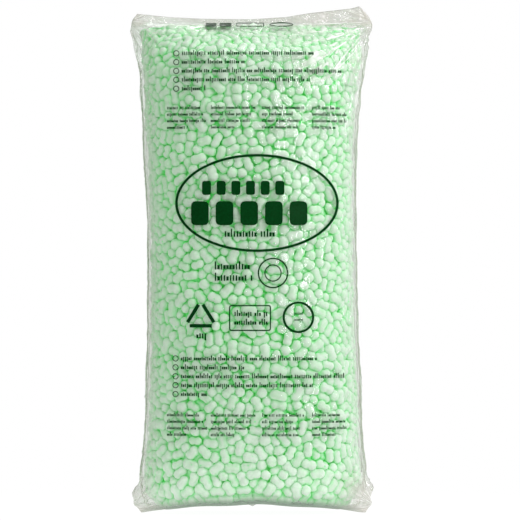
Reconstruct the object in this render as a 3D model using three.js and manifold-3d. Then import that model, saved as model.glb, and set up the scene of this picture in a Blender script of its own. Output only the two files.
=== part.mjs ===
// A tall clear plastic bag, filled tight with light foam packing chips.
//
// The bag is one piece of film: a flattened tube, sealed straight across both ends.
// Filled and stood up, it is a rounded oblong column. Its top closes in to an upright
// seal strip with an ear at each end, and its base lies flat between two corner ears.
// The fill is thousands of loose chips. They are drawn as one block of the shape that
// the film holds them in, and as single chips where they lie under the top seal.
//
// Millimetres, +Z up. The origin is the middle of the base, with the printed face to -Y.
import * as THREE from "three";
import { mergeVertices } from "three/addons/utils/BufferGeometryUtils.js";
import Module from "manifold-3d";

// The film is drawn thicker than the real one, which is about 0.06 mm.
const FILM = 1.0;
const FILL_GAP = 1.0; // between the film and the block
const CHIP_GAP = 0.3; // between the block and the chips on it
const AROUND = 40; // sides of the bag's section
const LEAST_DEPTH = 1; // half the depth of a ring, where it is drawn in the most
const SAME_POINT = 1e-3; // corners nearer than this are one corner

// The outer face of the bag, from the base up to the top seal. Each station is a height,
// the reach to the left (-X) and right (+X), half the depth, and the squareness of the
// section: 2 is an ellipse, and a larger number has fuller corners.
const STATIONS = [
  { z: 0, left: 262, right: 264, depth: 204, square: 2.6 },
  { z: 12, left: 298, right: 300, depth: 240, square: 2.6 },
  { z: 45, left: 322, right: 326, depth: 258, square: 2.6 },
  { z: 110, left: 332, right: 337, depth: 267, square: 2.6 },
  { z: 200, left: 326, right: 332, depth: 272, square: 2.6 },
  { z: 320, left: 322, right: 330, depth: 274, square: 2.6 },
  { z: 500, left: 318, right: 322, depth: 274, square: 2.5 },
  { z: 720, left: 317, right: 316, depth: 272, square: 2.5 },
  { z: 950, left: 320, right: 312, depth: 270, square: 2.5 },
  { z: 1100, left: 329, right: 311, depth: 267, square: 2.5 },
  { z: 1220, left: 333, right: 317, depth: 262, square: 2.4 },
  { z: 1300, left: 341, right: 328, depth: 254, square: 2.4 },
  { z: 1350, left: 345, right: 338, depth: 240, square: 2.3 },
  { z: 1390, left: 350, right: 345, depth: 212, square: 2.2 },
  { z: 1420, left: 356, right: 350, depth: 164, square: 2.1 },
  { z: 1442, left: 359, right: 355, depth: 108, square: 2 },
  { z: 1457, left: 356, right: 356, depth: 52, square: 2 },
  { z: 1466, left: 350, right: 352, depth: 5, square: 2 },
];

// The seal strip across the top, with an ear at each end. Its lower edge is inside the bag.
const STRIP_THICKNESS = 2.0;
const STRIP_OUTLINE = [
  [-352, 1428],
  [-363, 1446],
  [-361, 1474],
  [-348, 1497],
  [-250, 1486],
  [-120, 1481],
  [0, 1480],
  [90, 1485],
  [180, 1499],
  [325, 1516],
  [350, 1495],
  [363, 1468],
  [354, 1436],
  [300, 1428],
];

// The corner ears at the base, where the ends of the lower seal stick out.
const EAR_THICKNESS = 8.0;
const EAR_ROOT = 270; // how far out the ear begins, inside the bag
const LEFT_EAR = [
  [328, 125],
  [345, 85],
  [360, 55],
  [352, 25],
  [338, 0],
];
const RIGHT_EAR = [
  [332, 130],
  [350, 98],
  [357, 78],
  [354, 40],
  [339, 0],
];

// A small vent in the back lets the air out, so that packed bags settle.
const VENT_RADIUS = 3;
const VENT_SIDES = 12;
const VENT_HEIGHT = 1200;
const VENT_CUTTER_LENGTH = 40;

// A chip is a strand with a figure-eight section, cut to length and puffed up.
const CHIP_LOBE = 14; // radius of each lobe
const CHIP_SPREAD = 10.5; // from the middle of the chip to the middle of a lobe
const CHIP_LENGTH = 27;
const CHIP_ROUND = 5; // how far the cut ends are rounded
const CHIP_CURVE_STEPS = 6;
const CHIP_REACH = CHIP_SPREAD + CHIP_LOBE;
const CHIP_ROOM = 3.5; // the least between a chip and the film

// The chips that are drawn one by one lie in rows on the block, under the top seal.
const BLOCK_TOP = 1385;
const ROW_PITCH = 59;
const ROWS = 5;
const COLUMNS = 11;
const YAW_STEP = 2.4; // radians: turns each chip by a different amount

const wasm = await Module();
wasm.setup();

function solidFrom(geometry) {
  const bare = geometry.clone();
  bare.deleteAttribute("normal");
  bare.deleteAttribute("uv");
  const merged = mergeVertices(bare, SAME_POINT);
  return new wasm.Manifold(
    new wasm.Mesh({
      numProp: 3,
      vertProperties: merged.getAttribute("position").array,
      triVerts: new Uint32Array(merged.index.array),
    }),
  );
}

function geometryFrom(solid) {
  const { vertProperties, triVerts } = solid.getMesh();
  const geometry = new THREE.BufferGeometry();
  geometry.setAttribute(
    "position",
    new THREE.BufferAttribute(vertProperties, 3),
  );
  geometry.setIndex(new THREE.BufferAttribute(triVerts, 1));
  geometry.computeVertexNormals();
  return geometry;
}

function power(value, exponent) {
  return Math.sign(value) * Math.abs(value) ** exponent;
}

// The half widths and the depth of the bag's outer face at any height.
function stationAt(z) {
  const above = STATIONS.findIndex((station) => station.z >= z);
  const high = STATIONS[Math.max(above, 1)];
  const low = STATIONS[Math.max(above, 1) - 1];
  const share = (z - low.z) / (high.z - low.z);
  const mixed = {};
  for (const key of Object.keys(low)) {
    mixed[key] = THREE.MathUtils.lerp(low[key], high[key], share);
  }
  return mixed;
}

// One ring of points round a station, drawn in from the outer face by an inset.
function ring({ z, left, right, depth, square }, inset) {
  const middle = (right - left) / 2;
  const halfWidth = (right + left) / 2 - inset;
  const halfDepth = Math.max(depth - inset, LEAST_DEPTH);
  const points = [];
  for (let i = 0; i < AROUND; i++) {
    const angle = (2 * Math.PI * i) / AROUND;
    const x = middle + halfWidth * power(Math.cos(angle), 2 / square);
    const y = halfDepth * power(Math.sin(angle), 2 / square);
    points.push([x, y, z]);
  }
  return points;
}

// A closed skin over rings of points, with a flat fan at each end.
function loft(rings) {
  const positions = rings.flat(2);
  const last = rings.length - 1;
  const index = [];
  for (let r = 0; r < last; r++) {
    for (let i = 0; i < AROUND; i++) {
      const a = r * AROUND + i;
      const b = r * AROUND + ((i + 1) % AROUND);
      index.push(a, b, a + AROUND);
      index.push(b, b + AROUND, a + AROUND);
    }
  }
  for (let i = 1; i < AROUND - 1; i++) {
    index.push(0, i + 1, i);
    index.push(last * AROUND, last * AROUND + i, last * AROUND + i + 1);
  }
  const geometry = new THREE.BufferGeometry();
  geometry.setAttribute(
    "position",
    new THREE.Float32BufferAttribute(positions, 3),
  );
  geometry.setIndex(index);
  return solidFrom(geometry);
}

// The bag's shape drawn in by an inset, up to a height.
function bagShape(inset, top) {
  const lowest = { ...stationAt(inset), z: inset };
  const highest = { ...stationAt(top), z: top };
  const between = STATIONS.filter(({ z }) => z > inset && z < top);
  return loft([lowest, ...between, highest].map((s) => ring(s, inset)));
}

// A flat plate in the XZ plane, of an outline and a thickness that is centred on y = 0.
function plate(outline, thickness) {
  const shape = new THREE.Shape(outline.map(([x, z]) => new THREE.Vector2(x, z)));
  const geometry = new THREE.ExtrudeGeometry(shape, {
    depth: thickness,
    bevelEnabled: false,
  });
  geometry.rotateX(Math.PI / 2);
  geometry.translate(0, thickness / 2, 0);
  return solidFrom(geometry);
}

function cornerEar(outline, side) {
  const top = outline[0][1];
  const points = [[EAR_ROOT, top], ...outline, [EAR_ROOT, 0]];
  return plate(
    points.map(([x, z]) => [side * x, z]),
    EAR_THICKNESS,
  );
}

function vent() {
  const { depth } = stationAt(VENT_HEIGHT);
  const cutter = new THREE.CylinderGeometry(
    VENT_RADIUS,
    VENT_RADIUS,
    VENT_CUTTER_LENGTH,
    VENT_SIDES,
  );
  cutter.translate(0, depth, VENT_HEIGHT);
  return solidFrom(cutter);
}

function filmBag() {
  const sealTop = STATIONS[STATIONS.length - 1].z;
  const film = bagShape(0, sealTop)
    .add(plate(STRIP_OUTLINE, STRIP_THICKNESS))
    .add(cornerEar(LEFT_EAR, -1))
    .add(cornerEar(RIGHT_EAR, 1))
    .subtract(bagShape(FILM, sealTop - FILM))
    .subtract(vent());
  return geometryFrom(film);
}

function fillBlock() {
  return geometryFrom(bagShape(FILM + FILL_GAP, BLOCK_TOP));
}

function chipGeometry() {
  const lobe = CHIP_LOBE - CHIP_ROUND;
  const waist = Math.acos(CHIP_SPREAD / CHIP_LOBE);
  const shape = new THREE.Shape();
  shape.absarc(CHIP_SPREAD, 0, lobe, waist - Math.PI, Math.PI - waist);
  shape.absarc(-CHIP_SPREAD, 0, lobe, waist, 2 * Math.PI - waist);
  const geometry = new THREE.ExtrudeGeometry(shape, {
    depth: CHIP_LENGTH - 2 * CHIP_ROUND,
    bevelThickness: CHIP_ROUND,
    bevelSize: CHIP_ROUND,
    bevelSegments: 1,
    curveSegments: CHIP_CURVE_STEPS,
  });
  geometry.translate(0, 0, CHIP_ROUND - CHIP_LENGTH / 2);
  return geometry;
}

// True if a chip turned any way about a point stays inside the bag up to its top.
function fits(x, y) {
  const top = stationAt(BLOCK_TOP + CHIP_GAP + 2 * CHIP_LOBE);
  const clear = FILM + CHIP_REACH + CHIP_ROOM + FILL_GAP;
  const across = Math.abs(x - (top.right - top.left) / 2) + clear;
  const deep = Math.abs(y) + clear;
  const halfWidth = (top.right + top.left) / 2;
  return (
    (across / halfWidth) ** top.square + (deep / top.depth) ** top.square < 1
  );
}

const filmMaterial = new THREE.MeshStandardMaterial({
  color: 0xe4e8e2,
  roughness: 0.18,
  metalness: 0,
  transparent: true,
  opacity: 0.3,
});
const foamMaterial = new THREE.MeshStandardMaterial({
  color: 0xb9ecbf,
  roughness: 0.85,
  metalness: 0,
});

const bag = new THREE.Group();

function addMesh(name, geometry, material) {
  const mesh = new THREE.Mesh(geometry, material);
  mesh.name = name;
  bag.add(mesh);
  return mesh;
}

addMesh("film_bag", filmBag(), filmMaterial);
addMesh("loose_fill", fillBlock(), foamMaterial);

let made = 0;
for (let row = 0; row < ROWS; row++) {
  for (let column = 0; column < COLUMNS; column++) {
    const x = (column - (COLUMNS - 1) / 2) * ROW_PITCH;
    const y = (row - (ROWS - 1) / 2) * ROW_PITCH;
    if (!fits(x, y)) continue;
    made += 1;
    const name = "foam_chip_" + String(made).padStart(2, "0");
    const chip = addMesh(name, chipGeometry(), foamMaterial);
    const onSide = made % 2 === 0;
    const height = onSide ? CHIP_LOBE : CHIP_LENGTH / 2;
    chip.position.set(x, y, BLOCK_TOP + CHIP_GAP + height);
    chip.rotation.order = "ZYX";
    chip.rotation.z = made * YAW_STEP;
    chip.rotation.x = onSide ? Math.PI / 2 : 0;
  }
}

export default bag;
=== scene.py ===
import math

import bpy
import numpy as np
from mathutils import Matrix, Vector, noise


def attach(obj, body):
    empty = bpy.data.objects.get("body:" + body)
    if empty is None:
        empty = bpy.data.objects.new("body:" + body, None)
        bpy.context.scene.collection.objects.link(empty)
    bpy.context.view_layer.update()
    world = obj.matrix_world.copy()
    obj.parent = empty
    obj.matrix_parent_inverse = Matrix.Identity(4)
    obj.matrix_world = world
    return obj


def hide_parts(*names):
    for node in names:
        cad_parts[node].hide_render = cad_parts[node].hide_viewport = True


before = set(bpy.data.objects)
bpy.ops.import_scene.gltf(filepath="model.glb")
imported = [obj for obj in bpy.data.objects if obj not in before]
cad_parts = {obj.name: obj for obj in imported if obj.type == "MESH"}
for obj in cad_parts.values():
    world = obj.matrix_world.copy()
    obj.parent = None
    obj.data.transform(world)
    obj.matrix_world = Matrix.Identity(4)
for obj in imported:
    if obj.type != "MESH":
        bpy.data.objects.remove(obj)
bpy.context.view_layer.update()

bpy.ops.object.select_all(action="DESELECT")
RANDOM = np.random.default_rng(7)

# ---------------------------------------------------------------- the bag's form, in metres
# height, reach to the left, reach to the right, half depth, squareness of the section
STATIONS = (
    (0.000, 0.262, 0.264, 0.204, 2.6),
    (0.012, 0.298, 0.300, 0.240, 2.6),
    (0.045, 0.322, 0.326, 0.258, 2.6),
    (0.110, 0.332, 0.337, 0.267, 2.6),
    (0.200, 0.324, 0.331, 0.272, 2.6),
    (0.320, 0.317, 0.326, 0.274, 2.6),
    (0.500, 0.312, 0.318, 0.274, 2.5),
    (0.720, 0.311, 0.312, 0.272, 2.5),
    (0.950, 0.314, 0.310, 0.270, 2.5),
    (1.100, 0.323, 0.311, 0.267, 2.5),
    (1.220, 0.329, 0.316, 0.262, 2.4),
    (1.300, 0.333, 0.326, 0.254, 2.4),
    (1.350, 0.338, 0.335, 0.242, 2.3),
    (1.390, 0.343, 0.338, 0.216, 2.2),
    (1.420, 0.350, 0.341, 0.172, 2.1),
    (1.442, 0.357, 0.349, 0.124, 2.0),
    (1.457, 0.361, 0.359, 0.074, 2.0),
    (1.466, 0.360, 0.360, 0.006, 2.0),
)
SHOULDER = STATIONS[-1][0]
# the top edge of the welded strip, from the left tip to the right tip
STRIP_TOP = (
    (-0.361, 1.480), (-0.348, 1.496), (-0.250, 1.486), (-0.150, 1.481), (0.000, 1.480), (0.100, 1.486),
    (0.175, 1.498), (0.300, 1.512), (0.326, 1.519), (0.338, 1.506), (0.355, 1.486), (0.361, 1.474),
)
# how far each bottom ear stands out past the body: height, reach
LEFT_EAR = (
    (0.000, 0.071), (0.012, 0.043), (0.024, 0.036), (0.040, 0.032), (0.056, 0.031),
    (0.072, 0.020), (0.093, 0.006), (0.140, 0.001), (0.200, 0.000),
)
RIGHT_EAR = (
    (0.000, 0.077), (0.012, 0.046), (0.026, 0.038), (0.046, 0.026), (0.078, 0.025),
    (0.098, 0.014), (0.118, 0.006), (0.140, 0.004), (0.200, 0.000),
)
EAR_TOP = 0.20
EAR_SPAN = 0.016
# the arch of the base: its height, how far out it meets the floor, how far up it lifts the film
BASE_ARCH = 0.030
ARCH_REACH = 0.33
ARCH_LIFT = 0.30
# where the creases of the four ears start: how far from the middle, and how far above and below mid height
FAN_X, FAN_Z, FAN_MIDDLE = 0.374, 0.727, 0.745
# what the camera looks at, level: its x and its height
VIEW_MIDDLE = (0.024, 0.7575)
# the creases in the film at each ear: middle x and z, reach, depth, how many, seed
EAR_CREASES = (
    (0.362, 1.455, 0.26, 0.0095, 7.5, 5),
    (-0.360, 1.455, 0.18, 0.0070, 7.5, 6),
    (0.352, 0.05, 0.14, 0.0060, 8.0, 7),
    (-0.355, 0.05, 0.14, 0.0060, 8.0, 8),
)

# how finely the film is divided: points round it, then rings in each of its parts
AROUND = 352
FOOT_RINGS, BODY_RINGS, SHOULDER_RINGS = 10, 140, 46
STRIP_RINGS = 8
CAP_RINGS = 12


def smooth_through(points, at):
    """A smooth curve through rows of points, the first column being where each row is."""
    rows = np.array(points, float)
    x, y = rows[:, 0], rows[:, 1:]
    slope = np.gradient(y, x, axis=0)
    k = np.clip(np.searchsorted(x, at, side="right") - 1, 0, len(x) - 2)
    span = (x[k + 1] - x[k])[..., None]
    t = np.clip((at - x[k]) / (x[k + 1] - x[k]), 0.0, 1.0)[..., None]
    a, b = y[k], y[k + 1]
    ma, mb = slope[k] * span, slope[k + 1] * span
    leaving = a * (1 + 2 * t) * (1 - t) ** 2 + ma * t * (1 - t) ** 2
    return leaving + b * t * t * (3 - 2 * t) + mb * t * t * (t - 1)


def section(z):
    """The middle, half width, half depth and squareness of the bag at each height."""
    s = smooth_through(STATIONS, np.clip(z, 0.0, SHOULDER))
    return (s[..., 1] - s[..., 0]) / 2, (s[..., 1] + s[..., 0]) / 2, s[..., 2], s[..., 3]


def wall_distance(p):
    """How far each point is outside the bag's plain form, and the way out."""
    def scale(q):
        """How large the plain form would have to be to reach each point, 1 being its own size."""
        mid, half, depth, power = section(q[:, 2])
        sides = np.abs((q[:, 0] - mid) / half) ** power + np.abs(q[:, 1] / depth) ** power
        return np.maximum(sides, 1e-9) ** (1 / power)
    step = 1e-3
    g = scale(p)
    slope = np.stack([(scale(p + step * axis) - g) / step for axis in np.eye(3)], 1)
    steep = np.maximum(np.linalg.norm(slope, axis=1), 1e-6)
    return (g - 1) / steep, slope / steep[:, None]


# ---------------------------------------------------------------- helpers
def noise_at(points, scale, seed=0.0):
    """Smooth noise from -1 to 1 at each point."""
    shift = Vector((seed * 7.3, seed * 3.1, seed * 5.7))
    stretch = np.broadcast_to(np.asarray(scale, float), (3,))
    return np.array([noise.noise(Vector(q) + shift) for q in (points * stretch).tolist()])


def ridge(wave, sharpness=2.0):
    """A train of folds, sharp at the crest and flat between."""
    return (1 - np.abs(np.sin(wave))) ** sharpness


def mesh_object(name, points, corners, sizes):
    """A mesh from points and a flat list of face corners."""
    mesh = bpy.data.meshes.new(name)
    mesh.vertices.add(len(points))
    mesh.vertices.foreach_set("co", np.asarray(points, np.float32).ravel())
    mesh.loops.add(len(corners))
    mesh.loops.foreach_set("vertex_index", np.asarray(corners, np.int32))
    mesh.polygons.add(len(sizes))
    starts = np.concatenate([[0], np.cumsum(sizes)[:-1]])
    mesh.polygons.foreach_set("loop_start", starts.astype(np.int32))
    mesh.polygons.foreach_set("use_smooth", np.ones(len(sizes), bool))
    mesh.update(calc_edges=True)
    mesh.validate()
    piece = bpy.data.objects.new(name, mesh)
    bpy.context.scene.collection.objects.link(piece)
    return piece


def work_on(piece):
    """Makes a piece the only one selected, and the active one."""
    bpy.ops.object.select_all(action="DESELECT")
    piece.select_set(True)
    bpy.context.view_layer.objects.active = piece


def bell(distance, width):
    """A smooth hump: 1 at no distance, near 0 beyond twice the width."""
    return np.exp(-((distance / width) ** 2))


def fade_in(value, start, length):
    """0 before the start, then a straight rise to 1 over a length."""
    return np.clip((value - start) / length, 0, 1)


def apply_all(piece):
    """Applies every modifier of a piece."""
    work_on(piece)
    for modifier in list(piece.modifiers):
        bpy.ops.object.modifier_apply(modifier=modifier.name)


# ---------------------------------------------------------------- the film
def ring_points(mid, half, depth, power, around):
    """Points round one section, closer together at its two sides, starting at the right side."""
    t = np.linspace(0, 2 * math.pi, 4001)
    c, s = np.cos(t), np.sin(t)
    x = mid + half * np.sign(c) * np.abs(c) ** (2 / power)
    y = depth * np.sign(s) * np.abs(s) ** (2 / power)
    step = np.hypot(np.diff(x), np.diff(y))
    near_side = bell(y, 0.05)
    weight = 1 + 1.6 * (near_side[1:] + near_side[:-1]) / 2
    run = np.concatenate([[0], np.cumsum(step * weight)])
    at = np.linspace(0, run[-1], around + 1)[:-1]
    return np.interp(at, run, x), np.interp(at, run, y)


def film_grid():
    """The bag's plain form as a grid of points, from its foot to its top edge."""
    rows = []
    foot_top, body_top = 0.05, 1.20
    heights = np.concatenate([
        np.linspace(0, foot_top, FOOT_RINGS)[:-1],
        np.linspace(foot_top, body_top, BODY_RINGS)[:-1],
        np.linspace(body_top, SHOULDER, SHOULDER_RINGS),
    ])
    for z in heights:
        mid, half, depth, power = (float(v) for v in section(np.array(z)))
        x, y = ring_points(mid, half, depth, power, AROUND)
        left = smooth_through(LEFT_EAR, np.array(min(z, EAR_TOP)))[0]
        right = smooth_through(RIGHT_EAR, np.array(min(z, EAR_TOP)))[0]
        pull = bell(y, EAR_SPAN) * (np.abs(x - mid) > half * 0.6)
        x = x + np.where(x > mid, right, -left) * pull
        rows.append(np.stack([x, y, np.full_like(x, z)], 1))
    top = rows[-1]
    edge = np.array(STRIP_TOP)
    rise = np.interp(top[:, 0], edge[:, 0], edge[:, 1])
    # the welded strip: the shoulder's two sides come together and run up to the top edge
    for share in np.linspace(0, 1, STRIP_RINGS + 1)[1:]:
        strip = top.copy()
        strip[:, 2] = SHOULDER + (rise - SHOULDER) * share
        strip[:, 1] = top[:, 1] * (1 - share)
        strip[:, 0] = top[:, 0] * (1 - 0.01 * share)
        rows.append(strip)
    return np.array(rows)


def ways_out(grid):
    """The way out of the film at each of its points."""
    along = np.roll(grid, -1, 1) - np.roll(grid, 1, 1)
    up = np.gradient(grid, axis=0)
    out = np.cross(along, up)
    out /= np.maximum(np.linalg.norm(out, axis=2, keepdims=True), 1e-9)
    return out.reshape(-1, 3)


def side_folds(flat, side):
    """Upright folds in the slack film at the two sides: broad ones that come and go, and fine ones."""
    y = flat[:, 1]
    sway = noise_at(flat, (3, 3, 7), 3)
    gate = np.clip(0.40 + 1.3 * noise_at(flat, (8, 8, 6), 4), 0, 1)
    broad = ridge(y * 95 + 4.0 * sway, 2.2) - 0.25
    fine = ridge(y * 250 + 5.0 * noise_at(flat, (5, 5, 14), 14), 2.0) - 0.3
    return side * gate * 0.0042 * broad, side * 0.0022 * fine


def ear_creases(flat):
    """Creases that run out of the four corners, one set after another."""
    x, y, z = flat.T
    back = np.where(y < 0, 0.0, 1.0)
    on_strip = fade_in(z, SHOULDER - 0.006, 0.006)
    for ear_x, ear_z, reach, depth, count, seed in EAR_CREASES:
        away = np.hypot(x - ear_x, z - ear_z)
        turn = np.arctan2(z - ear_z, x - ear_x)
        wave = turn * count + 1.1 * noise_at(flat, 9, seed) + back * 1.7
        fade = np.clip(away / 0.05, 0, 1) * bell(away, reach)
        yield depth * fade * (ridge(wave, 2.0) - 0.25) * (1 - 0.6 * on_strip)


def facets(flat, side):
    """Flat facets, most at the upper right where the film is slack."""
    x, _, z = flat.T
    cells = [noise.voronoi(Vector(q), distance_metric="MANHATTAN")[0][0] for q in (flat * 15).tolist()]
    slack = bell(np.hypot(x - 0.27, z - 1.36), 0.17) + 0.30 * side + 0.30 * fade_in(z, 1.3, 0.1)
    return 0.0095 * (0.08 + np.clip(slack, 0, 1)) * (np.array(cells) - 0.25)


def crumple(grid):
    """Moves the film's points off its plain form: slow waves, side folds, creases from the ears, facets."""
    flat = grid.reshape(-1, 3)
    out = ways_out(grid)
    x, _, z = flat.T
    # the foot and the weld keep nearer to their plain form
    top_edge = np.interp(x, *np.array(STRIP_TOP).T)
    free = np.clip(z / 0.03, 0, 1) * np.clip((SHOULDER - z) / 0.02, 0.45, 1)
    free *= np.clip((top_edge - z) / 0.01, 0, 1)
    side = fade_in(np.abs(x), 0.22, 0.10)
    move = 0.0030 * noise_at(flat, (9, 9, 7), 1) + 0.0018 * noise_at(flat, (26, 26, 18), 2)
    for shift in (*side_folds(flat, side), *ear_creases(flat), facets(flat, side)):
        move += shift
    flat = flat + out * (move * free)[:, None]
    # the welded strip waves a little back and forth
    level = flat * (1, 0, 1)
    sway = 0.006 * noise_at(level, (7, 1, 4), 9) + 0.003 * noise_at(level, (24, 1, 10), 10)
    flat[:, 1] += fade_in(z, 1.445, 0.03) * sway
    return flat.reshape(grid.shape)


def base_arch(x):
    """How far the base stands off the floor."""
    return (BASE_ARCH + 0.002 * np.sin(32 * x + 0.8)) * np.clip(1 - (x / ARCH_REACH) ** 2, 0, 1)


def lift(x, z):
    """How far the arch of the base lifts the film at each point, fading out upwards."""
    return base_arch(x) * np.clip(1 - z / ARCH_LIFT, 0, 1) ** 2


def film_bag():
    """The closed bag of clear film."""
    grid = crumple(film_grid())
    levels, around = grid.shape[:2]
    grid[:, :, 2] += lift(grid[:, :, 0], grid[:, :, 2])
    points = [grid.reshape(-1, 3)]
    foot = grid[0]
    middle = foot.mean(0)
    for share in np.linspace(0, 1, CAP_RINGS + 1)[1:-1]:
        inner = foot + (middle - foot) * share
        inner[:, 2] = base_arch(inner[:, 0]) + 0.002 * share
        points.append(inner)
    points.append(middle[None, :])
    points = np.concatenate(points)
    k = np.arange(around)
    following = (k + 1) % around
    corners = []
    for row in range(levels - 1):
        a, b = row * around, (row + 1) * around
        corners.append(np.stack([a + k, a + following, b + following, b + k], 1))
    cap = levels * around
    ring = [np.arange(around)] + [cap + r * around + k for r in range(CAP_RINGS - 1)]
    for outer, inner in zip(ring[:-1], ring[1:]):
        corners.append(np.stack([inner[k], inner[following], outer[following], outer[k]], 1))
    quads = np.concatenate(corners)
    centre = len(points) - 1
    fan = np.stack([np.full(around, centre), ring[-1][following], ring[-1][k]], 1)
    faces = np.concatenate([quads.ravel(), fan.ravel()])
    bag = mesh_object("clear_bag", points, faces, [4] * len(quads) + [3] * len(fan))
    work_on(bag)
    bpy.ops.object.mode_set(mode="EDIT")
    bpy.ops.mesh.select_all(action="SELECT")
    bpy.ops.mesh.remove_doubles(threshold=1e-5)
    bpy.ops.mesh.normals_make_consistent(inside=False)
    bpy.ops.object.mode_set(mode="OBJECT")
    return bag


def keep_on(piece, name, values):
    """Writes one number for each point of a piece, for its material to read."""
    layer = piece.data.attributes.new(name, "FLOAT", "POINT")
    layer.data.foreach_set("value", np.clip(values, 0, 1).astype(np.float32))


def cloud_the_film(bag):
    """Writes how milky and how crinkled the film is at each point, where its foot gets painted shade, and
    where its creases get painted white glints.
    """
    co = np.zeros(len(bag.data.vertices) * 3)
    bag.data.vertices.foreach_get("co", co)
    co = co.reshape(-1, 3)
    x, y, z = co.T
    front = y < 0
    # the places where several layers of film lie on each other, and a milky patch low on the front right
    strip = fade_in(z, 1.456, 0.014)
    ear = bell(np.hypot(np.abs(x) - 0.352, z - 0.045), 0.036)
    corner = bell(np.hypot(x - 0.31, z - 0.07), 0.050) * front
    top_ears = bell(np.hypot(np.abs(x) - 0.36, z - 1.46), 0.04)
    left_side = fade_in(-x, 0.265, 0.05) * np.clip(0.5 + 1.4 * noise_at(co, (20, 20, 3), 16), 0, 1)
    right_side = fade_in(x, 0.285, 0.04) * np.clip(0.5 + 1.0 * noise_at(co, (20, 20, 3), 17), 0, 1)
    foot = bell(z - base_arch(x) - 0.007, 0.012)
    cloud = 0.008 + 0.35 * strip + 0.34 * ear + 0.20 * top_ears + 0.30 * corner + 0.10 * left_side
    cloud += 0.08 * right_side + 0.62 * foot
    cloud += (strip + ear + top_ears + corner) * 0.10 * noise_at(co, 40, 11)
    # rays of cloud that fan out of each ear
    out_x, out_z = np.abs(x) - FAN_X, np.abs(z - FAN_MIDDLE) - FAN_Z
    away, turn = np.hypot(out_x, out_z), np.arctan2(out_z, out_x)
    fan = noise_at(np.stack([turn, away * 5, np.sign(x) * 3], 1), 5.0, 18)
    near_fan = bell(away, 0.13) * (fade_in(z, 1.43, 0.03) + 0.6 * ear)
    cloud += near_fan * (0.34 * fan - 0.10 * (x < 0)) - 0.10 * strip * fade_in(-x, 0.15, 0.1)
    keep_on(bag, "cloud", cloud)
    # painted shade: along the foot the film's milk is tinted dark grey-green
    keep_on(bag, "foot", 1.3 * foot * np.clip(1.1 - (x / ARCH_REACH) ** 4, 0, 1))
    # painted highlights: where the creases get white glints, the upper right most of all
    painted_glint_mask = 1.5 * bell(np.hypot(x - 0.275, z - 1.385), 0.110) * fade_in(away, 0.012, 0.02)
    painted_glint_mask *= np.clip((np.abs(turn) - 2.0) / 0.35, 0.22, 1)
    painted_glint_mask += 0.75 * bell(np.hypot(x + 0.330, z - 1.465), 0.055)
    painted_glint_mask += 0.9 * bell(np.hypot(np.abs(x) - 0.345, z - 0.035), 0.035)
    keep_on(bag, "painted_glint_mask", painted_glint_mask)
    glitter = bell(np.hypot(x - 0.26, z - 1.36), 0.16) * front
    slack = fade_in(np.abs(x), 0.24, 0.06)
    shoulder = fade_in(z, 1.36, 0.08)
    crinkle = 0.32 + 0.60 * glitter + 0.40 * slack + 0.35 * shoulder + 0.4 * (ear + top_ears)
    keep_on(bag, "crinkle", crinkle)


# ---------------------------------------------------------------- the chips
# half a chip's length and half its width; a chip is packed as two balls, each this far from its middle
CHIP_LONG, CHIP_ROUND = 0.0246, 0.0172
LOBE_OFF, BALL = 0.0090, 0.0152
# how many chips, how many of them start in the ridge under the weld, and how deep behind the film they go
CHIP_COUNT, RIDGE_COUNT = 4850, 260
BAND = 0.060
# no ball's middle is lower than this above the base, or higher than this below the weld
FLOOR_GAP, RIDGE_TOP = 0.0262, 1.446
SETTLING_STEPS = 150
# how near another chip has to be for the painted crease shade
CREASE_REACH = 0.0070
CHIP_BATCHES = 4


def chip(name, waist=0.77, bend=0.0, lean=0.0, thick=0.90, lobe=1.0):
    """One chip: a ball drawn out into two lobes, pinched at the waist, with a squarish section."""
    bpy.ops.object.select_all(action="DESELECT")
    bpy.ops.mesh.primitive_uv_sphere_add(segments=8, ring_count=8, radius=1.0)
    piece = bpy.context.object
    piece.name = name
    piece.data.vertices.foreach_set("select", [False] * len(piece.data.vertices))
    levels = sorted({round(v.co.z, 3) for v in piece.data.vertices})
    # how far along, how wide and how thick each ring of points is
    profile = (
        (-1.00, 0.0, 0.0), (-0.93, 0.50, 0.62), (-0.68, 0.90, 0.94), (-0.36, 1.0, 1.0), (0.0, waist, 0.90),
        (0.36, 1.0 * lobe, 1.0), (0.68, 0.90 * lobe, 0.94), (0.93, 0.50 * lobe, 0.62), (1.00, 0.0, 0.0),
    )
    for level, (along, wide, deep) in zip(levels, profile):
        ring = [v for v in piece.data.vertices if abs(v.co.z - level) < 2e-3]
        wide_now = max(math.hypot(v.co.x, v.co.y) for v in ring)
        for v in piece.data.vertices:
            v.select = v in ring
        bpy.ops.object.mode_set(mode="EDIT")
        if wide_now > 1e-4:
            size = (wide / wide_now, deep * thick / wide_now, 1)
            bpy.ops.transform.resize(value=size, center_override=(0, 0, level))
        shift = bend * (1 - along * along)
        bpy.ops.transform.translate(value=(shift, lean * along, along - level))
        bpy.ops.mesh.select_all(action="DESELECT")
        bpy.ops.object.mode_set(mode="OBJECT")
    points = np.array([v.co[:] for v in piece.data.vertices])
    # fuller corners between the flat faces
    corner = np.minimum(np.abs(points[:, 0]), np.abs(points[:, 1])) > 0.25
    points[corner, :2] *= 1.06
    points *= (CHIP_ROUND, CHIP_ROUND, CHIP_LONG)
    sizes = [len(f.vertices) for f in piece.data.polygons]
    corners = [c for f in piece.data.polygons for c in f.vertices]
    bpy.data.objects.remove(piece)
    return points, np.array(corners), np.array(sizes)


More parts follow.
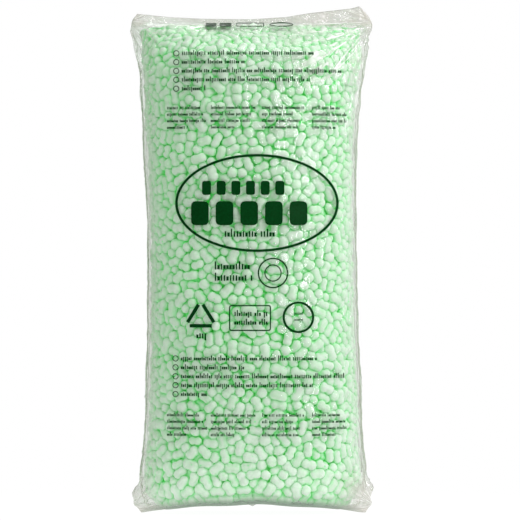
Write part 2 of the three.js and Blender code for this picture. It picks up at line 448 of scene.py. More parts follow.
def near_pairs(first, second, reach):
    """Every pair of points, one from each set, that are nearer than reach, found by sorting into cells."""
    base = np.minimum(first.min(0), second.min(0)) - reach
    cell_a = ((first - base) / reach).astype(np.int64)
    cell_b = ((second - base) / reach).astype(np.int64)
    size = np.maximum(cell_a.max(0), cell_b.max(0)) + 2
    key_a = (cell_a[:, 0] * size[1] + cell_a[:, 1]) * size[2] + cell_a[:, 2]
    key_b = (cell_b[:, 0] * size[1] + cell_b[:, 1]) * size[2] + cell_b[:, 2]
    order = np.argsort(key_b, kind="stable")
    ordered = key_b[order]
    found = []
    for dx in (-1, 0, 1):
        for dy in (-1, 0, 1):
            for dz in (-1, 0, 1):
                key = key_a + (dx * size[1] + dy) * size[2] + dz
                low = np.searchsorted(ordered, key, "left")
                count = np.searchsorted(ordered, key, "right") - low
                one = np.repeat(np.arange(len(first)), count)
                start = np.repeat(low - np.cumsum(count) + count, count)
                other = order[start + np.arange(count.sum())]
                near = np.linalg.norm(first[one] - second[other], axis=1) < reach
                found.append(np.stack([one[near], other[near]], 1))
    return np.concatenate(found)


def chip_starts():
    """Random middles for the chips: those in the ridge under the weld, then the rest behind the film."""
    spots = np.zeros((0, 3))
    while len(spots) < CHIP_COUNT:
        guess = RANDOM.uniform((-0.36, -0.275, 0.02), (0.36, 0.275, SHOULDER - 0.015), (20000, 3))
        away, _ = wall_distance(guess)
        spots = np.concatenate([spots, guess[(away < -0.016) & (away > -BAND)]])
    ridge_spots = RANDOM.uniform((-0.33, -0.12, 1.375), (0.33, 0.12, 1.452), (4000, 3))
    away, _ = wall_distance(ridge_spots)
    ridge_spots = ridge_spots[away < -0.014][:RIDGE_COUNT]
    return np.concatenate([ridge_spots, spots[:CHIP_COUNT - RIDGE_COUNT]])


def push_apart(balls, pairs, width):
    """Moves each pair of balls that overlap part of the way out of each other."""
    gap = balls[pairs[:, 0]] - balls[pairs[:, 1]]
    far = np.maximum(np.linalg.norm(gap, axis=1), 1e-6)
    push = gap * (np.maximum(width - far, 0) / far * 0.5)[:, None]
    for axis in range(3):
        balls[:, axis] += 0.7 * (
            np.bincount(pairs[:, 0], push[:, axis], len(balls))
            - np.bincount(pairs[:, 1], push[:, axis], len(balls))
        )


def keep_inside(balls, slack):
    """Moves balls behind the film and out of the core, above the base and below the weld."""
    lowered = balls.copy()
    lowered[:, 2] -= lift(balls[:, 0], balls[:, 2])
    away, out = wall_distance(lowered)
    sideways = out[:, 0] ** 2
    room = CHIP_ROUND + 0.0025 + slack * (1 - 0.45 * sideways) + 0.0020 * sideways
    # more room by the top ears, round the foot and under the weld, where the film is tighter
    room += 0.008 * sideways * fade_in(balls[:, 2], 1.37, 0.06)
    room += 0.017 * np.clip((0.058 - lowered[:, 2]) / 0.03, 0, 1)
    room += 0.0080 * fade_in(balls[:, 2], 1.41, 0.03)
    deep = np.maximum(away + room, 0) - np.maximum(-away - BAND, 0)
    balls -= out * deep[:, None]
    floor = FLOOR_GAP + base_arch(balls[:, 0])
    ceiling = RIDGE_TOP - 0.014 * (balls[:, 0] / 0.33) ** 4
    balls[:, 2] = np.clip(balls[:, 2], floor, ceiling)


def pack_chips():
    """Middles and long axes of the chips, pushed apart until they lie on each other and against the film."""
    middle = chip_starts()
    _, out = wall_distance(middle)
    # most chips lie along the film
    way = RANDOM.normal(size=(CHIP_COUNT, 3))
    way -= 0.35 * out * (way * out).sum(1, keepdims=True)
    way /= np.linalg.norm(way, axis=1, keepdims=True)
    balls = np.empty((2 * CHIP_COUNT, 3))
    balls[0::2], balls[1::2] = middle - way * LOBE_OFF, middle + way * LOBE_OFF
    slack = np.repeat(RANDOM.uniform(0.0, 0.010, CHIP_COUNT), 2)
    for step in range(SETTLING_STEPS):
        width = 2 * BALL * min(1.0, 0.62 + 0.5 * step / SETTLING_STEPS)
        if step % 6 == 0:
            pairs = near_pairs(balls, balls, width + 0.012)
            pairs = pairs[pairs[:, 0] // 2 < pairs[:, 1] // 2]
        push_apart(balls, pairs, width)
        keep_inside(balls, slack)
        # the two balls of a chip stay the same distance apart
        middle = (balls[0::2] + balls[1::2]) / 2
        way = balls[1::2] - balls[0::2]
        way /= np.maximum(np.linalg.norm(way, axis=1, keepdims=True), 1e-9)
        balls[0::2], balls[1::2] = middle - way * LOBE_OFF, middle + way * LOBE_OFF
    return middle, way


def crease_shade_at(points, owner, balls):
    """How much painted shade each point of the chips gets: 0 on an open face, 1 where other chips close it
    in, more the deeper it lies behind the film.
    """
    pairs = near_pairs(points, balls, BALL + CREASE_REACH)
    pairs = pairs[owner[pairs[:, 0]] != pairs[:, 1] // 2]
    far = np.linalg.norm(points[pairs[:, 0]] - balls[pairs[:, 1]], axis=1)
    close = np.clip(1 - (far - BALL) / CREASE_REACH, 0, 1)
    touch = np.bincount(pairs[:, 0], close, len(points))
    away, _ = wall_distance(points)
    return 0.40 * touch + 0.45 * fade_in(-away, 0.018, 0.024)


def chip_pieces():
    """Every chip as real geometry, in a few meshes stacked by height."""
    shapes = [
        chip("chip_plain"),
        chip("chip_bent", 0.78, bend=0.09),
        chip("chip_thick", 0.84, thick=0.98),
        chip("chip_waisted", 0.68, lobe=0.95),
        chip("chip_leaning", 0.78, bend=-0.06, lean=0.14, lobe=1.04),
        chip("chip_fat", 0.92, lobe=1.05, thick=0.94),
        chip("chip_odd", 0.84, bend=0.14, lobe=0.84, thick=0.88),
    ]
    middle, way = pack_chips()
    order = np.argsort(middle[:, 2], kind="stable")
    middle, way = middle[order], way[order]
    balls = np.stack([middle - way * LOBE_OFF, middle + way * LOBE_OFF], 1).reshape(-1, 3)
    kind = RANDOM.integers(0, len(shapes), CHIP_COUNT)
    size = RANDOM.normal(0.99, 0.08, CHIP_COUNT).clip(0.80, 1.11)
    tone = RANDOM.uniform(0, 1, CHIP_COUNT)
    across = np.cross(way, RANDOM.normal(size=way.shape))
    across /= np.linalg.norm(across, axis=1, keepdims=True)
    frames = np.stack([across, np.cross(way, across), way], 2)
    pieces = []
    for batch in range(CHIP_BATCHES):
        points, corners, sizes, owner, total = [], [], [], [], 0
        for c in range(batch * CHIP_COUNT // CHIP_BATCHES, (batch + 1) * CHIP_COUNT // CHIP_BATCHES):
            shape, faces, lengths = shapes[kind[c]]
            points.append(shape @ frames[c].T * size[c] + middle[c])
            corners.append(faces + total)
            sizes.append(lengths)
            owner.append(np.full(len(shape), c))
            total += len(shape)
        points, owner = np.concatenate(points), np.concatenate(owner)
        name = f"foam_chips_{batch + 1}"
        piece = mesh_object(name, points, np.concatenate(corners), np.concatenate(sizes))
        keep_on(piece, "tone", tone[owner])
        # painted shade: the crease value tells the foam where to paint its strong green and its faint green
        # glow
        keep_on(piece, "crease", crease_shade_at(points, owner, balls))
        pieces.append(piece)
    return pieces


# ---------------------------------------------------------------- the core
# how far the core stays behind the film and under the shoulder, and how finely it is divided
CORE_GAP_X, CORE_GAP_Y, CORE_GAP_TOP = 0.058, 0.052, 0.082
CORE_AROUND, CORE_RINGS, CORE_CAP_RINGS = 100, 70, 13


def fill_core():
    """The lumpy mass of chips behind the ones that show, with a low dome on top."""
    rows = []
    for z in np.linspace(0.05, SHOULDER - CORE_GAP_TOP, CORE_RINGS):
        mid, half, depth, power = (float(v) for v in section(np.array(z)))
        half, depth = max(half - CORE_GAP_X, 0.01), max(depth - CORE_GAP_Y, 0.01)
        x, y = ring_points(mid, half, depth, power, CORE_AROUND)
        rows.append(np.stack([x, y, np.full_like(x, z)], 1))
    rim = rows[-1]
    for share in np.linspace(1, 0.05, CORE_CAP_RINGS + 1)[1:]:
        rows.append(rim * (share, share, 1) + (0, 0, 0.016 * (1 - share ** 2)))
    flat = np.array(rows).reshape(-1, 3)
    out = flat * (1, 1, 0)
    out /= np.linalg.norm(out, axis=1, keepdims=True)
    lumps = np.array([noise.cell(Vector(q) * 30) for q in flat.tolist()])
    bumps = 0.006 * noise_at(flat, 34, 12) + 0.002 * lumps
    on_dome = np.arange(len(flat)) >= CORE_RINGS * CORE_AROUND
    flat = flat + np.where(on_dome[:, None], (0, 0, 1), out) * bumps[:, None]
    k = np.arange(CORE_AROUND)
    following = (k + 1) % CORE_AROUND
    quads = []
    for row in range(len(rows) - 1):
        a, b = row * CORE_AROUND, (row + 1) * CORE_AROUND
        quads.append(np.stack([a + k, a + following, b + following, b + k], 1))
    quads = np.concatenate(quads)
    last = (len(rows) - 1) * CORE_AROUND + k
    corners = np.concatenate([quads.ravel(), k[::-1], last])
    sizes = [4] * len(quads) + [CORE_AROUND, CORE_AROUND]
    return mesh_object("foam_core", flat, corners, sizes)


# ---------------------------------------------------------------- the print
# the shapes are drawn flat in front of the bag, then made a little smaller and laid on the film
PRINT_PLANE = -0.40
UPRIGHT = (math.pi / 2, 0, 0)
PRINT_MIDDLE = (VIEW_MIDDLE[0], PRINT_PLANE, VIEW_MIDDLE[1])
PRINT_SCALE = 0.9865
# how far the ink stands off the film, and how thick it is
INK_PROUD, INK_THICK = 0.0012, 0.0004
# on the sloping shoulder, above this height, the ink rises a little more to lie on top of the film
SHOULDER_INK, SHOULDER_RISE = 1.44, (0, -0.004, 0.0015)
# the pitch of the lines in a list and in a column, and the size of the rings in a list
LIST_PITCH, COLUMN_PITCH = 0.0268, 0.0196
LIST_RING, LIST_STROKE = (0.0092, 0.0092), 0.0024


def named(name):
    """The shape just added, with a name of its own."""
    shape = bpy.context.object
    shape.name = name
    return shape


def ring_print(middle, reach, stroke, steps=40):
    """A plain ring: its middle, its outer half width and half height, and its line's width."""
    x, z = middle
    wide, high = reach
    bpy.ops.mesh.primitive_circle_add(
        vertices=steps, radius=1, location=(x, PRINT_PLANE, z), rotation=UPRIGHT,
    )
    shape = named("print_ring")
    shape.scale = (wide, high, 1)
    bpy.ops.object.transform_apply(location=True, rotation=True, scale=True)
    bpy.ops.object.mode_set(mode="EDIT")
    bpy.ops.mesh.select_all(action="SELECT")
    bpy.ops.mesh.extrude_edges_move()
    bpy.ops.transform.resize(
        value=((wide - stroke) / wide, 1, (high - stroke) / high), center_override=(x, PRINT_PLANE, z)
    )
    bpy.ops.object.mode_set(mode="OBJECT")
    return shape


def block_print(left, right, low, high, corner=0.0, stroke=0.0, grain=0.016):
    """A plain block with round corners, or only its outline if a stroke is given."""
    wide, tall = right - left, high - low
    across, up = max(1, round(wide / grain)), max(1, round(tall / grain))
    bpy.ops.mesh.primitive_grid_add(
        x_subdivisions=across, y_subdivisions=up, size=1,
        location=((left + right) / 2, PRINT_PLANE, (low + high) / 2), rotation=UPRIGHT,
    )
    shape = named("print_block")
    shape.scale = (wide, tall, 1)
    bpy.ops.object.transform_apply(location=True, rotation=True, scale=True)
    bpy.ops.object.mode_set(mode="EDIT")
    if stroke:
        bpy.ops.mesh.select_all(action="SELECT")
        bpy.ops.mesh.dissolve_faces()
    if corner:
        bpy.ops.mesh.select_all(action="DESELECT")
        bpy.ops.object.mode_set(mode="OBJECT")
        for v in shape.data.vertices:
            at_side = min(abs(v.co.x - left), abs(v.co.x - right)) < 1e-5
            v.select = at_side and min(abs(v.co.z - low), abs(v.co.z - high)) < 1e-5
        bpy.ops.object.mode_set(mode="EDIT")
        bpy.ops.mesh.bevel(offset=corner, affect="VERTICES", segments=3)
    if stroke:
        bpy.ops.mesh.select_all(action="SELECT")
        bpy.ops.mesh.inset(thickness=stroke)
        bpy.ops.mesh.delete(type="FACE")
    bpy.ops.object.mode_set(mode="OBJECT")
    return shape


def line_print(start, end, stroke):
    """A straight stroke between two points."""
    (x0, z0), (x1, z1) = start, end
    length = math.hypot(x1 - x0, z1 - z0)
    shape = block_print(0, length, -stroke / 2, stroke / 2)
    turn = math.atan2(z1 - z0, x1 - x0)
    for v in shape.data.vertices:
        along, aside = v.co.x, v.co.z
        v.co.x = x0 + along * math.cos(turn) - aside * math.sin(turn)
        v.co.z = z0 + along * math.sin(turn) + aside * math.cos(turn)
    return shape


def tick_lines(lines):
    """Rows of small ticks and dots in groups, as plain filler. Each row: start, end, foot, tick height."""
    bpy.ops.mesh.primitive_plane_add(size=1, location=(0, PRINT_PLANE, 0), rotation=UPRIGHT)
    tick = named("print_ticks")
    bpy.ops.object.transform_apply(location=True, rotation=True, scale=True)
    one = np.array([v.co[:] for v in tick.data.vertices])
    order = np.array(tick.data.polygons[0].vertices)
    bpy.data.objects.remove(tick)
    points, corners = [], []
    for left, right, foot, high in lines:
        pitch, at, run = high * 0.50, left, RANDOM.integers(4, 14)
        while at < right - pitch * 0.5:
            if run <= 0:
                run = RANDOM.integers(3, 13)
                at += pitch * 1.0
                continue
            run -= 1
            if RANDOM.random() < 0.42:
                wide, low, top = pitch * 0.84, high * 0.04, high * 0.74
            else:
                wide, low, top = pitch * RANDOM.uniform(0.46, 0.60), 0.0, high * 0.94
                if RANDOM.random() < 0.22:
                    top = high * 1.36
                elif RANDOM.random() < 0.10:
                    low = -high * 0.36
            shape = one * (wide, 1, top - low)
            shape[:, 0] += at + pitch / 2
            shape[:, 2] += foot + (top + low) / 2
            corners.append(order + 4 * len(points))
            points.append(shape)
            at += pitch
    return mesh_object("print_ticks", np.concatenate(points), np.concatenate(corners), [4] * len(points))


def list_print(ring_x, first, ends):
    """A list: a ring before every line. Each line's end is given."""
    shapes, lines = [], []
    for row, end in enumerate(ends):
        z = first - row * LIST_PITCH
        shapes.append(ring_print((ring_x, z), LIST_RING, LIST_STROKE, 24))
        lines.append((ring_x + 0.016, end, z - 0.0056, 0.0112))
    return shapes, lines


def column_print(left, first, lengths):
    """A short column of small lines. Each line's length is given."""
    high = 0.0084
    feet = [first - row * COLUMN_PITCH - high / 2 for row in range(len(lengths))]
    return [], [(left, left + length, foot, high) for length, foot in zip(lengths, feet)]


def emblem_print():
    """The large oval, with two rows of blocks and a line in it."""
    shapes = [ring_print((0.015, 0.9285), (0.246, 0.147), 0.0078, 144)]
    for left, pitch, wide, low, high, corner, count in (
        (-0.150, 0.044, 0.027, 0.953, 0.995, 0.007, 6),
        (-0.183, 0.074, 0.053, 0.862, 0.934, 0.013, 5),
    ):
        for k in range(count):
            shapes.append(block_print(left + k * pitch, left + k * pitch + wide, low, high, corner))
    return shapes, [(-0.084, 0.066, 0.8270, 0.0180)]


def rings_print():
    """A short double line beside a double ring."""
    middle = (0.063, 0.7185)
    shapes = [ring_print(middle, (0.046, 0.046), 0.0045, 48), ring_print(middle, (0.026, 0.026), 0.0035, 36)]
    return shapes, [(-0.114, 0.000, foot, 0.0180) for foot in (0.7290, 0.6950)]


def triangle_print():
    """Three bars set in a triangle, with open corners, over a short line."""
    corners = ((-0.2000, 0.5600), (-0.1080, 0.5600), (-0.1540, 0.6340))
    gap, stroke = 0.14, 0.0105
    shapes = []
    for (x0, z0), (x1, z1) in zip(corners, corners[1:] + corners[:1]):
        start = (x0 + (x1 - x0) * gap, z0 + (z1 - z0) * gap)
        end = (x1 - (x1 - x0) * gap, z1 - (z1 - z0) * gap)
        shapes.append(line_print(start, end, stroke))
    return shapes, [(-0.168, -0.138, 0.5220, 0.0160)]


def frame_print():
    """An outlined block round two lines."""
    shapes = [block_print(-0.069, 0.057, 0.5445, 0.6225, 0.007, 0.0038)]
    return shapes, [(-0.054, 0.044, foot, 0.0135) for foot in (0.5890, 0.5630)]


def small_ring_print():
    """A ring round two short lines."""
    shapes = [ring_print((0.1392, 0.5856), (0.0477, 0.0477), 0.0069, 56)]
    return shapes, [(0.1250, 0.1545, foot, 0.0070) for foot in (0.5930, 0.5750)]


def shoulder_print():
    """Two blocks, an outlined block and a ring on the shoulder, seen nearly edge on."""
    shapes = [
        block_print(-0.141, -0.108, 1.4630, 1.4760, 0.002, grain=0.004),
        block_print(-0.099, -0.063, 1.4630, 1.4760, 0.002, grain=0.004),
        block_print(-0.048, 0.036, 1.4620, 1.4770, 0.003, 0.0024),
        ring_print((0.0885, 1.4700), (0.036, 0.0085), 0.0032, 40),
    ]
    return shapes, []


def print_layout():
    """Everything that is printed: flat shapes, and the rows of ticks that stand where lines would be."""
    parts = [
        list_print(-0.228, 1.3800, (0.186, -0.024, 0.270, 0.177, -0.138)),
        list_print(-0.230, 0.4614, (0.197, -0.021, 0.280, 0.186, -0.138)),
    ]
    for first in (1.2150, 0.2915):
        for left, lengths in (
            (-0.256, (0.100, 0.108, 0.120, 0.062)),
            (-0.124, (0.133, 0.120, 0.118, 0.070)),
            (0.030, (0.126, 0.094, 0.112, 0.108)),
            (0.180, (0.086, 0.104, 0.106, 0.072)),
        ):
            parts.append(column_print(left, first, lengths))
    parts += [emblem_print(), rings_print(), triangle_print(), frame_print(), small_ring_print()]
    parts.append(shoulder_print())
    shapes = [shape for part_shapes, _ in parts for shape in part_shapes]
    lines = [line for _, part_lines in parts for line in part_lines]
    return shapes + [tick_lines(lines)]


def green_print(bag):
    """The ink on the front, laid on the film."""
    shapes = print_layout()
    bpy.ops.object.select_all(action="DESELECT")
    for shape in shapes:
        shape.select_set(True)
    bpy.context.view_layer.objects.active = shapes[-1]
    bpy.ops.object.join()
    ink = bpy.context.object
    ink.name = ink.data.name = "green_print"
    bpy.ops.object.mode_set(mode="EDIT")
    bpy.ops.mesh.select_all(action="SELECT")
    bpy.ops.transform.resize(value=(PRINT_SCALE, 1, PRINT_SCALE), center_override=PRINT_MIDDLE)
    bpy.ops.object.mode_set(mode="OBJECT")
    wrap = ink.modifiers.new("wrap", "SHRINKWRAP")
    wrap.target = bag
    wrap.wrap_method = "PROJECT"
    wrap.use_project_y = True
    wrap.use_positive_direction = True
    wrap.use_negative_direction = False
    apply_all(ink)
    bpy.ops.object.mode_set(mode="EDIT")
    bpy.ops.mesh.select_all(action="SELECT")
    bpy.ops.transform.translate(value=(0, -INK_PROUD, 0))
    bpy.ops.mesh.select_all(action="DESELECT")
    bpy.ops.object.mode_set(mode="OBJECT")
    for v in ink.data.vertices:
        v.select = v.co.z > SHOULDER_INK
    bpy.ops.object.mode_set(mode="EDIT")
    bpy.ops.transform.translate(value=SHOULDER_RISE)
    bpy.ops.mesh.select_all(action="DESELECT")
    bpy.ops.object.mode_set(mode="OBJECT")
    # every face looks forward before the ink is given its thickness
    for face in ink.data.polygons:
        face.select = face.normal.y > 0
    bpy.ops.object.mode_set(mode="EDIT")
    bpy.ops.mesh.flip_normals()
    bpy.ops.object.mode_set(mode="OBJECT")
    thick = ink.modifiers.new("thick", "SOLIDIFY")
    thick.thickness = INK_THICK
    thick.offset = 1
    apply_all(ink)
    ink.data.polygons.foreach_set("use_smooth", [False] * len(ink.data.polygons))
    return ink


# ---------------------------------------------------------------- materials
def new_material(name):
    """An empty material and its node tree."""
    material = bpy.data.materials.new(name)
    material.use_nodes = True
    material.node_tree.nodes.clear()
    return material, material.node_tree


def put(tree, kind, inputs, **settings):
    """A new node with its settings. Each of its inputs holds a value or takes another node's output."""
    node = tree.nodes.new("ShaderNode" + kind)
    for name, value in settings.items():
        setattr(node, name, value)
    for socket, value in inputs.items():
        if isinstance(value, bpy.types.NodeSocket):
            tree.links.new(value, node.inputs[socket])
        else:
            node.inputs[socket].default_value = value
    return node


def maths(tree, operation, *values, clamp=False):
    """The result of one sum on numbers or other nodes' outputs."""
    return put(tree, "Math", dict(enumerate(values)), operation=operation, use_clamp=clamp).outputs[0]


def carried(tree, name):
    """The number that a piece carries at each of its points under a name."""
    return put(tree, "Attribute", {}, attribute_name=name).outputs["Fac"]


def mixed(tree, share, first, second):
    """A colour between two colours."""
    return put(tree, "Mix", {0: share, 6: first, 7: second}, data_type="RGBA").outputs[2]


def mixed_number(tree, share, first, second):
    """A number between two numbers."""
    return put(tree, "Mix", {0: share, 2: first, 3: second}).outputs[0]


def coloured(tree, value, low, first, high, second):
    """A colour that runs from the first to the second as a value goes from low to high."""
    ramp = put(tree, "ValToRGB", {"Fac": value})
    ends = ramp.color_ramp.elements
    ends[0].position, ends[0].color = low, (*first, 1)
    ends[1].position, ends[1].color = high, (*second, 1)
    return ramp.outputs["Color"]


def object_place(tree):
    """Where a point is in its own piece."""
    return put(tree, "TexCoord", {}).outputs["Object"]


def ink_material():
    """Dark green ink, a little uneven."""
    material, tree = new_material("green ink")
    patchy = put(tree, "TexNoise", {"Vector": object_place(tree), "Scale": 160.0, "Detail": 3.0})
    colour = coloured(tree, patchy.outputs["Fac"], 0.30, (0.000, 0.036, 0.004), 0.78, (0.000, 0.054, 0.009))
    ink = put(tree, "BsdfPrincipled", {"Base Color": colour, "Roughness": 0.40, "Specular IOR Level": 0.06})
    put(tree, "OutputMaterial", {"Surface": ink.outputs["BSDF"]})
    return material


def foam_material(name, pale, deep, painted_shade_colour, painted_glow=(0.0, 0.0, 0.0)):
    """Pale foam with a skin of tiny cells; its creases and a few small pits get painted shade, a strong
    green, and a faint painted green glow.
    """
    material, tree = new_material(name)
    place = object_place(tree)
    # each chip has a tone of its own, a little mottled
    mottle = put(tree, "TexNoise", {"Vector": place, "Scale": 55.0, "Detail": 3.0})
    tone = maths(tree, "MULTIPLY_ADD", carried(tree, "tone"), 0.55, mottle.outputs["Fac"])
    face = coloured(tree, tone, 0.25, deep, 0.95, pale)
    # painted shade and painted glow: creases and small pits are painted a strong green and glow faintly
    # green, in place of the light that reaches them only after crossing several chips
    pits = put(tree, "TexVoronoi", {"Vector": place, "Scale": 34.0})
    shaded_pits = maths(tree, "MULTIPLY", maths(tree, "LESS_THAN", pits.outputs["Distance"], 0.085), 0.75)
    painted_shade = maths(tree, "MAXIMUM", carried(tree, "crease"), shaded_pits)
    colour = mixed(tree, painted_shade, face, (*painted_shade_colour, 1))
    # painted glow: the creases and pits give off a faint green light, though the foam is no lamp
    glow = mixed(tree, painted_shade, (0, 0, 0, 1), (*painted_glow, 1))
    # the skin: tiny cells over soft dents
    cells = put(tree, "TexVoronoi", {"Vector": place, "Scale": 420.0})
    dents = put(tree, "TexNoise", {"Vector": place, "Scale": 120.0, "Detail": 2.0})
    height = maths(tree, "MULTIPLY_ADD", cells.outputs["Distance"], 0.12, dents.outputs["Fac"])
    skin = put(tree, "Bump", {"Height": height, "Strength": 0.5, "Distance": 0.004})
    foam = put(tree, "BsdfPrincipled", {
        "Base Color": colour, "Roughness": 0.85, "Specular IOR Level": 0.08,
        "Subsurface Weight": 1.0, "Subsurface Radius": (1.0, 1.0, 1.0), "Subsurface Scale": 0.010,
        "Emission Color": glow, "Emission Strength": 1.0, "Normal": skin.outputs["Normal"],
    })
    put(tree, "OutputMaterial", {"Surface": foam.outputs["BSDF"]})
    return material


def painted_crease_glints(tree, place, dents):
    """Where the painted highlights go: white glint lines and patches that fan out of the four ears."""
    split = put(tree, "SeparateXYZ", {0: place}).outputs
    out_x = maths(tree, "SUBTRACT", maths(tree, "ABSOLUTE", split["X"]), FAN_X)
    above = maths(tree, "ABSOLUTE", maths(tree, "SUBTRACT", split["Z"], FAN_MIDDLE))
    out_z = maths(tree, "SUBTRACT", above, FAN_Z)
    turn = maths(tree, "ARCTAN2", out_z, out_x)
    squares = [maths(tree, "MULTIPLY", out, out) for out in (out_x, out_z)]
    away = maths(tree, "SQRT", maths(tree, "ADD", *squares))

    def fan_noise(turns, lengths, detail):
        """Noise drawn out into rays from an ear."""
        where = put(tree, "CombineXYZ", {
            "X": maths(tree, "MULTIPLY", turn, turns),
            "Y": maths(tree, "MULTIPLY", away, lengths),
            "Z": maths(tree, "MULTIPLY", split["Y"], 6.0),
        })
        inputs = {"Vector": where.outputs["Vector"], "Scale": 1.0, "Detail": detail}
        return put(tree, "TexNoise", inputs).outputs["Fac"]

    def step_between(value, low, high):
        """0 at low, 1 at high, straight between."""
        return put(tree, "MapRange", {"Value": value, "From Min": low, "From Max": high}).outputs["Result"]

    off_middle = maths(tree, "ABSOLUTE", maths(tree, "SUBTRACT", fan_noise(6.5, 3.0, 0.0), 0.5))
    lines = maths(tree, "MULTIPLY", step_between(off_middle, 0.062, 0.020), step_between(dents, 0.36, 0.50))
    patches = maths(tree, "MULTIPLY", step_between(fan_noise(13.0, 36.0, 1.0), 0.600, 0.650), 0.85)
    return maths(tree, "MULTIPLY", maths(tree, "MAXIMUM", lines, patches), carried(tree, "painted_glint_mask"))


def film_material():
    """Clear film: milky where it is thick, with painted white glints along its creases and painted shade at
    its foot, and crinkled and glossy all over.
    """
    material, tree = new_material("clear film")
    place = object_place(tree)
    # crinkle: fine creases, stretched upright, over soft dents
    stretched = put(tree, "Mapping", {"Vector": place, "Scale": (1.0, 1.0, 0.38)}).outputs["Vector"]
    creases = put(tree, "TexVoronoi", {"Vector": stretched, "Scale": 26.0}, feature="DISTANCE_TO_EDGE")
    dents = put(tree, "TexNoise", {
        "Vector": stretched, "Scale": 22.0, "Detail": 5.0, "Roughness": 0.6, "Distortion": 0.6,
    }).outputs["Fac"]
    relief = maths(tree, "MULTIPLY_ADD", creases.outputs["Distance"], 0.9, dents)
    relief = maths(tree, "MULTIPLY", relief, carried(tree, "crinkle"))
    crinkled = put(tree, "Bump", {"Height": relief, "Strength": 1.0, "Distance": 0.020}).outputs["Normal"]
    # see-through film with some milk in it, with painted shade at the foot (a dark grey-green tint) and
    # painted highlights, white glints, along the creases
    white = painted_crease_glints(tree, place, dents)
    tint = mixed(tree, carried(tree, "foot"), (0.66, 0.62, 0.57, 1), (0.15, 0.22, 0.15, 1))
    milk = put(tree, "BsdfDiffuse", {"Color": mixed(tree, white, tint, (0.97, 0.98, 0.97, 1))})
    clear = put(tree, "BsdfTransparent", {"Color": (0.975, 0.985, 0.978, 1)})
    cloud = maths(tree, "MULTIPLY_ADD", white, 0.92, carried(tree, "cloud"))
    # seen edge on there is more film to look through
    grazing = put(tree, "LayerWeight", {"Blend": 0.5}).outputs["Facing"]
    haze = maths(tree, "MULTIPLY_ADD", maths(tree, "POWER", grazing, 4.0), 0.44, cloud, clamp=True)
    film = put(tree, "MixShader", {"Fac": haze, 1: clear.outputs["BSDF"], 2: milk.outputs["BSDF"]})
    # gloss, stronger at a glance
    glance = put(tree, "LayerWeight", {"Blend": 0.5, "Normal": crinkled}).outputs["Facing"]
    share = maths(tree, "MULTIPLY_ADD", maths(tree, "POWER", glance, 4.0), 0.22, 0.085, clamp=True)
    gloss = put(tree, "BsdfAnisotropic", {
        "Color": (0.95, 0.96, 0.95, 1), "Roughness": 0.06, "Normal": crinkled,
    })
    whole = put(tree, "MixShader", {"Fac": share, 1: film.outputs["Shader"], 2: gloss.outputs["BSDF"]})
    put(tree, "OutputMaterial", {"Surface": whole.outputs["Shader"]})
    return material


def floor_material():
    """A pale floor that glows a little and fades away towards its rim."""
    material, tree = new_material("pale floor")
    length = put(tree, "VectorMath", {0: object_place(tree)}, operation="LENGTH").outputs["Value"]
    steps = {"Value": length, "From Min": 0.45, "From Max": 1.9}
    fade = put(tree, "MapRange", steps, interpolation_type="SMOOTHSTEP")
    paint = put(tree, "BsdfDiffuse", {"Color": (0.10, 0.10, 0.10, 1)})
    glow = put(tree, "Emission", {"Strength": 0.96})
    table = put(tree, "AddShader", {0: paint.outputs["BSDF"], 1: glow.outputs["Emission"]})
    nothing = put(tree, "BsdfTransparent", {})
    mix = put(tree, "MixShader", {
        "Fac": fade.outputs["Result"], 1: table.outputs["Shader"], 2: nothing.outputs["BSDF"],
    })
    put(tree, "OutputMaterial", {"Surface": mix.outputs["Shader"]})
    return material


# ---------------------------------------------------------------- the studio
def backdrop():
    """A white backdrop. The room round it is dimmer, and what the gloss mirrors is dimmer still."""
    world = bpy.data.worlds.new("studio")
    bpy.context.scene.world = world
    world.use_nodes = True
    tree = world.node_tree
    tree.nodes.clear()
    path = put(tree, "LightPath", {}).outputs
    room = mixed_number(tree, path["Is Glossy Ray"], 0.70, 0.12)
    strength = mixed_number(tree, path["Is Camera Ray"], room, 1.0)
    colour = mixed(tree, path["Is Camera Ray"], (0.90, 1.0, 0.90, 1), (1, 1, 1, 1))
    sky = put(tree, "Background", {"Color": colour, "Strength": strength})
    put(tree, "OutputWorld", {"Surface": sky.outputs["Background"]})


def pale_floor():
    """A round floor, just under the bag."""
    bpy.ops.mesh.primitive_circle_add(vertices=96, radius=3.0, fill_type="NGON", location=(0, 0, -0.0005))
    floor = bpy.context.object
    floor.name = "floor"
    floor.data.materials.append(floor_material())


def softbox(name, place, size, watts, aim=(0, 0, 0.75), colour=(1, 1, 1)):
    """A soft light that looks at a point."""
    lamp = bpy.data.lights.new(name, "AREA")
    lamp.shape = "RECTANGLE"
    lamp.size, lamp.size_y = size
    lamp.energy = watts
    lamp.color = colour
    holder = bpy.data.objects.new(name, lamp)
    holder.location = place
    holder.rotation_euler = (Vector(aim) - Vector(place)).to_track_quat("-Z", "Y").to_euler()
    bpy.context.scene.collection.objects.link(holder)


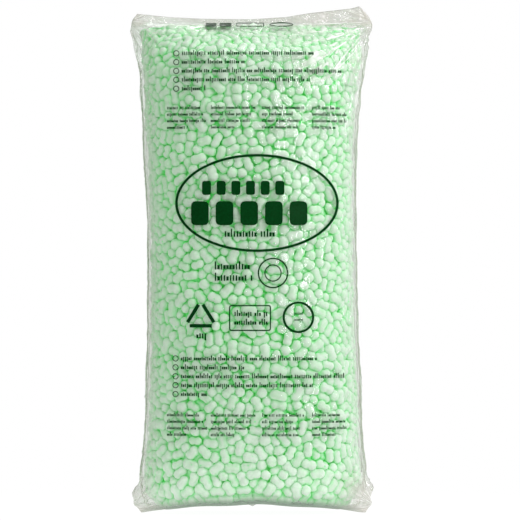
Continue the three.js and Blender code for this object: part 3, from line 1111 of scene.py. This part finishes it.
def front_camera():
    """A level camera with a long lens, far in front of the bag."""
    distance, view_width, sensor = 20.0, 1.56, 36.0
    camera = bpy.data.objects.new("camera", bpy.data.cameras.new("camera"))
    bpy.context.scene.collection.objects.link(camera)
    camera.location = (VIEW_MIDDLE[0], -distance, VIEW_MIDDLE[1])
    camera.rotation_euler = (math.pi / 2, 0, 0)
    camera.data.sensor_width = sensor
    camera.data.lens = sensor * distance / view_width
    camera.data.clip_end = 100
    bpy.context.scene.camera = camera


def studio():
    """The backdrop, the floor, the lights and the camera."""
    backdrop()
    pale_floor()
    softbox("key_light", (3.2, -2.4, 2.9), (1.7, 1.7), 53, colour=(1.0, 0.88, 1.0))
    softbox("side_light", (2.4, -3.4, 1.7), (0.30, 1.4), 21, colour=(1.0, 0.90, 1.0))
    softbox("corner_light", (3.6, -1.0, 3.6), (0.8, 0.8), 34, (0.26, -0.15, 1.36))
    softbox("top_light", (0.3, -0.9, 4.0), (2.0, 1.2), 16)
    softbox("back_light", (-1.0, 3.2, 2.2), (1.6, 1.8), 50)
    front_camera()
    scene = bpy.context.scene
    scene.view_settings.view_transform = "Standard"
    scene.cycles.max_bounces = 14
    scene.cycles.diffuse_bounces = 8
    scene.cycles.transparent_max_bounces = 16


# ---------------------------------------------------------------- putting it together
bag = film_bag()
cloud_the_film(bag)
bag.data.materials.append(film_material())
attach(bag, "root")
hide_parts("film_bag")

ink = green_print(bag)
ink.data.materials.append(ink_material())
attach(ink, "root")

# the green foam; its last two colours are the painted crease shade and the painted green glow
foam = foam_material(
    "green foam", pale=(0.77, 0.885, 0.77), deep=(0.66, 0.875, 0.66), painted_shade_colour=(0.21, 0.95, 0.31),
    painted_glow=(0.005, 0.060, 0.009),
)
chips = chip_pieces()
for piece in chips:
    piece.data.materials.append(foam)
    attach(piece, "root")
loose = [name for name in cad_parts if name.startswith("foam_chip_")]
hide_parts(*loose)

core = fill_core()
# painted shade: the core foam is a shaded copy of the green foam, a deep strong green for the chips deep
# inside the bag
shaded_core_foam = foam_material(
    "shaded core foam", pale=(0.20, 0.90, 0.31), deep=(0.16, 0.86, 0.27), painted_shade_colour=(0.12, 0.80, 0.22),
)
core.data.materials.append(shaded_core_foam)
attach(core, "root")
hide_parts("loose_fill")

studio()
